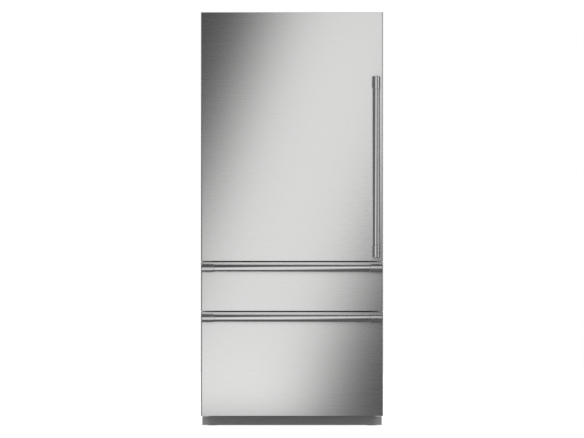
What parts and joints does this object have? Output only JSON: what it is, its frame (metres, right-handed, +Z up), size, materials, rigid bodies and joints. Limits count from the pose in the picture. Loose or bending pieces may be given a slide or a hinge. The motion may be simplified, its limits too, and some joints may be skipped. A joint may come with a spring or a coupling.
{
  "type": "bottom freezer refrigerator",
  "caption": "Tall built-in style refrigerator: one side-hung door above two pull-out drawers, brushed steel fronts and tubular bar handles, with a dark recessed base plate.",
  "frame": {"origin": "on the floor, under the middle of the whole object", "axes": "+Z up, +Y from the door and drawer fronts to the back, +X to the right of someone facing the fronts"},
  "size_m": [0.908, 0.676, 2.061],
  "materials": {
    "fronts": "horizontal brushed",
    "handles": "lengthwise brushed",
    "handle_ends": "satin",
    "case_paint": "satin paint",
    "zinc": "galvanised",
    "foam": "rigid foam",
    "front_bodies": "painted sheet over rigid foam",
    "liner": "moulded",
    "clear_bins": "clear",
    "shelf_glass": "tempered",
    "diffuser": "frosted",
    "seal": "matt",
    "base_plate": "matt paint",
    "black_steel": "gloss paint",
    "coils": "plain",
    "dark_plastic": "moulded",
    "bush": "moulded"
  },
  "bodies": {
    "cabinet": {"outer_case": "case_paint", "back_panel": "zinc", "cabinet_insulation": "foam", "fridge_liner": "liner", "middle_liner": "liner", "freezer_liner": "liner", "mullion_rails": "case_paint", "base_frame": "zinc", "toe_kick": "base_plate", "top_hinge": "zinc", "bottom_hinge": "zinc", "shelf_frames": "liner", "shelf_glass": "shelf_glass", "crisper_cover": "liner", "left_crisper": "clear_bins", "right_crisper": "clear_bins", "air_tower": "liner", "light_lenses": "diffuser", "control_panel": "liner", "fixed_rails": "zinc", "evaporator": "coils", "evaporator_cover": "liner", "fan_motors": "dark_plastic", "fan_shroud": "dark_plastic", "condenser": "coils", "compressor": "black_steel", "compressor_mounts": "seal", "machine_cover": "zinc", "cord_bushing": "seal"},
    "door": {"door_panel": "fronts", "door_core": "front_bodies", "door_liner": "liner", "door_seal": "seal", "door_bins": "clear_bins", "hinge_bushes": "bush", "door_handle_bar": "handles", "door_handle_posts": "handle_ends"},
    "upper_drawer": {"upper_drawer_panel": "fronts", "upper_drawer_core": "front_bodies", "upper_drawer_seal": "seal", "upper_drawer_bin": "clear_bins", "upper_handle_bar": "handles", "upper_handle_posts": "handle_ends", "upper_runners": "zinc"},
    "upper_slides": {"upper_middle_rails": "zinc"},
    "lower_drawer": {"lower_drawer_panel": "fronts", "lower_drawer_core": "front_bodies", "lower_drawer_seal": "seal", "lower_drawer_bin": "clear_bins", "lower_handle_bar": "handles", "lower_handle_posts": "handle_ends", "lower_runners": "zinc"},
    "lower_slides": {"lower_middle_rails": "zinc"},
    "freezer_basket": {"freezer_basket": "clear_bins"},
    "left_leg": {"left_leg": "dark_plastic"},
    "right_leg": {"right_leg": "dark_plastic"},
    "left_roller": {"left_roller": "dark_plastic"},
    "right_roller": {"right_roller": "dark_plastic"},
    "freezer_fan": {"freezer_fan": "dark_plastic"},
    "condenser_fan": {"condenser_fan": "dark_plastic"}
  },
  "joints": [
    {"name": "door_hinge", "type": "hinge", "parent": "cabinet", "child": "door", "pos_m": [-0.436, -0.228, 1.4], "axis": [0, 0, -1], "range_deg": [0, 115]},
    {"name": "upper_drawer_slide", "type": "slide", "parent": "cabinet", "child": "upper_drawer", "axis": [0, -1, 0], "range_m": [0, 0.42]},
    {"name": "upper_slides_slide", "type": "slide", "parent": "cabinet", "child": "upper_slides", "axis": [0, -1, 0], "range_m": [0, 0.21]},
    {"name": "lower_drawer_slide", "type": "slide", "parent": "cabinet", "child": "lower_drawer", "axis": [0, -1, 0], "range_m": [0, 0.42]},
    {"name": "lower_slides_slide", "type": "slide", "parent": "cabinet", "child": "lower_slides", "axis": [0, -1, 0], "range_m": [0, 0.21]},
    {"name": "basket_slide", "type": "slide", "parent": "lower_drawer", "child": "freezer_basket", "axis": [0, 1, 0], "range_m": [0, 0.15]},
    {"name": "left_leg_turn", "type": "hinge", "parent": "cabinet", "child": "left_leg", "pos_m": [-0.398, -0.151, 0.02], "axis": [0, 0, 1], "continuous": true},
    {"name": "right_leg_turn", "type": "hinge", "parent": "cabinet", "child": "right_leg", "pos_m": [0.398, -0.151, 0.02], "axis": [0, 0, 1], "continuous": true},
    {"name": "left_roller_spin", "type": "hinge", "parent": "cabinet", "child": "left_roller", "pos_m": [-0.398, 0.29, 0.02], "axis": [1, 0, 0], "continuous": true},
    {"name": "right_roller_spin", "type": "hinge", "parent": "cabinet", "child": "right_roller", "pos_m": [0.398, 0.29, 0.02], "axis": [1, 0, 0], "continuous": true},
    {"name": "freezer_fan_spin", "type": "hinge", "parent": "cabinet", "child": "freezer_fan", "pos_m": [0, 0.205, 0.4345], "axis": [0, 1, 0], "continuous": true},
    {"name": "condenser_fan_spin", "type": "hinge", "parent": "cabinet", "child": "condenser_fan", "pos_m": [-0.095, 0.223, 0.1655], "axis": [1, 0, 0], "continuous": true}
  ],
  "couplings": [
    {"joint": "upper_slides_slide", "follows": "upper_drawer_slide", "ratio": 0.5},
    {"joint": "lower_slides_slide", "follows": "lower_drawer_slide", "ratio": 0.5}
  ]
}
